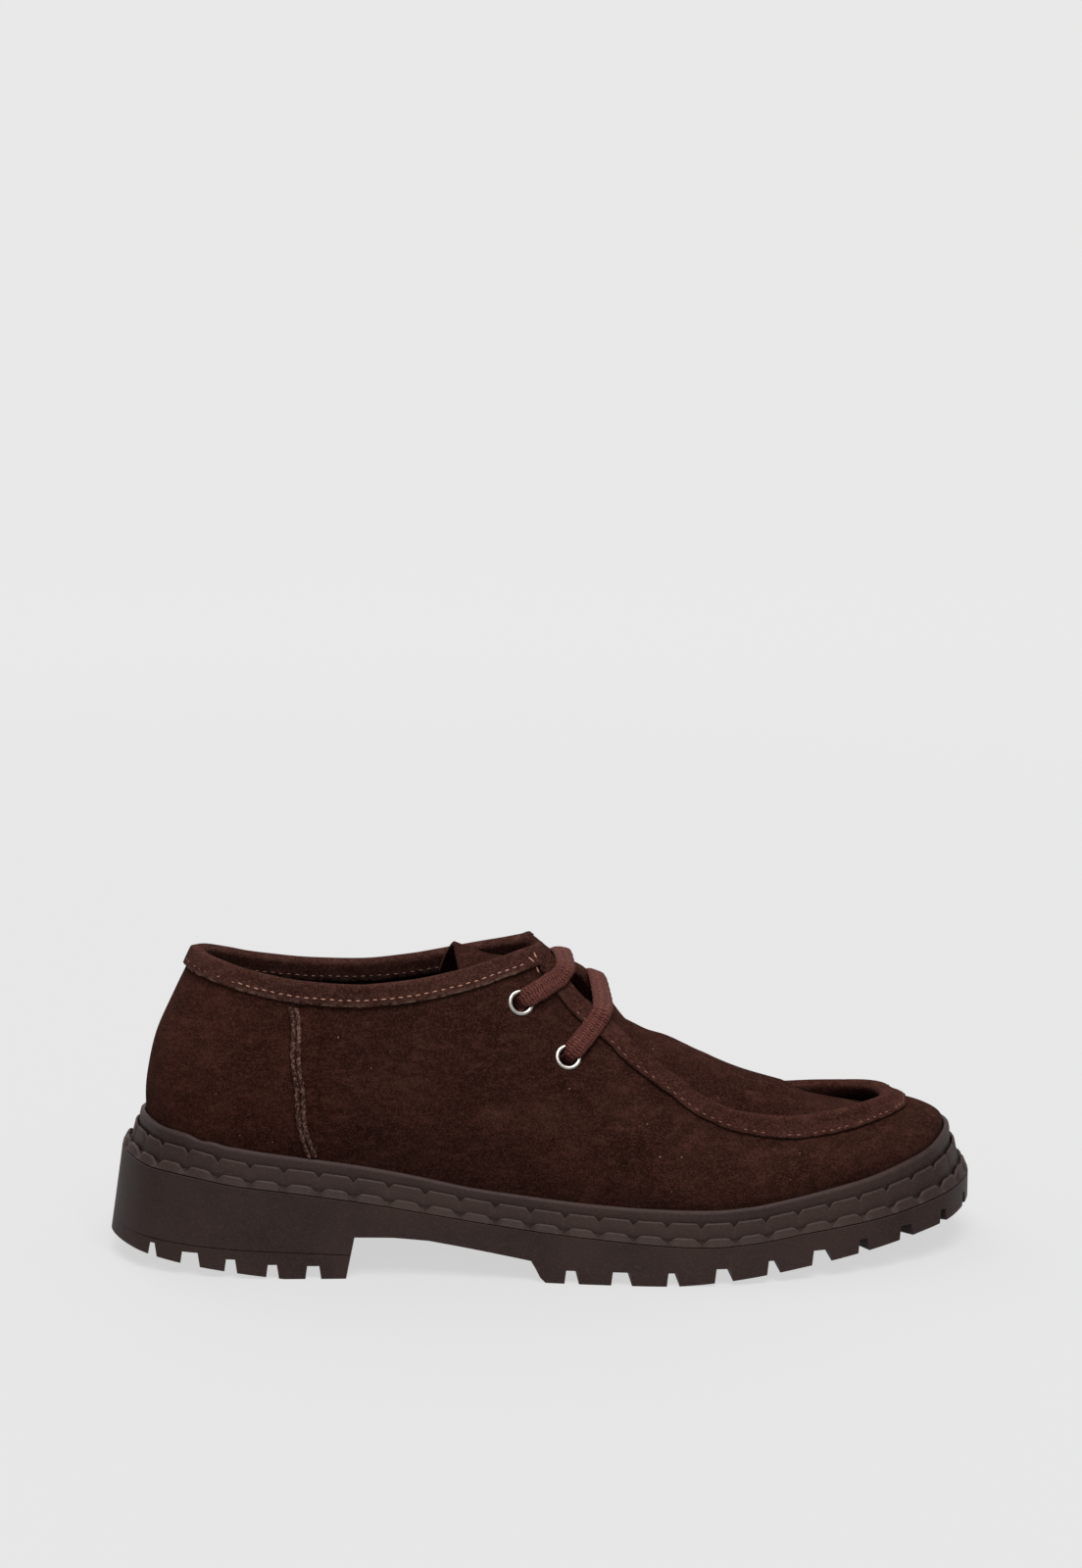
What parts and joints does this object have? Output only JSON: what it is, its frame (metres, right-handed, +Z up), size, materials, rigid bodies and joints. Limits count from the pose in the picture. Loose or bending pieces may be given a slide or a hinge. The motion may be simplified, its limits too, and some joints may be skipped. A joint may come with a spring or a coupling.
{
  "type": "suede moccasin lace-up shoe",
  "caption": "Low lace-up moccasin shoe with a hollow suede upper, a raised apron ridge, a tongue, metal eyelets and a thick lugged rubber unit sole; right foot.",
  "frame": {"origin": "on the ground, under the middle of the shoe's bounding box", "axes": "+X to the toe, +Y to the inner side of the foot, +Z up; the shoe stands on its sole at Z = 0"},
  "size_m": [0.2996, 0.1084, 0.1081],
  "materials": {
    "upper_suede": "dark brown suede, matte",
    "apron_suede": "dark brown suede, matte",
    "binding_suede": "brown suede tape, matte",
    "sole_rubber": "dark brown moulded rubber, matte",
    "insole_lining": "dark brown lining, matte",
    "eyelet_metal": "bright nickel",
    "lace_cord": "brown flat woven lace"
  },
  "bodies": {
    "root": {"sole_unit": "sole_rubber", "insole": "insole_lining", "upper": "upper_suede", "apron_tongue": "apron_suede", "collar_binding": "binding_suede", "apron_binding": "binding_suede", "side_seam_outer": "binding_suede", "side_seam_inner": "binding_suede", "eyelet_outer_upper": "eyelet_metal", "eyelet_inner_upper": "eyelet_metal", "eyelet_outer_lower": "eyelet_metal", "eyelet_inner_lower": "eyelet_metal", "lace_bar_upper": "lace_cord", "lace_bar_lower": "lace_cord"}
  },
  "joints": []
}
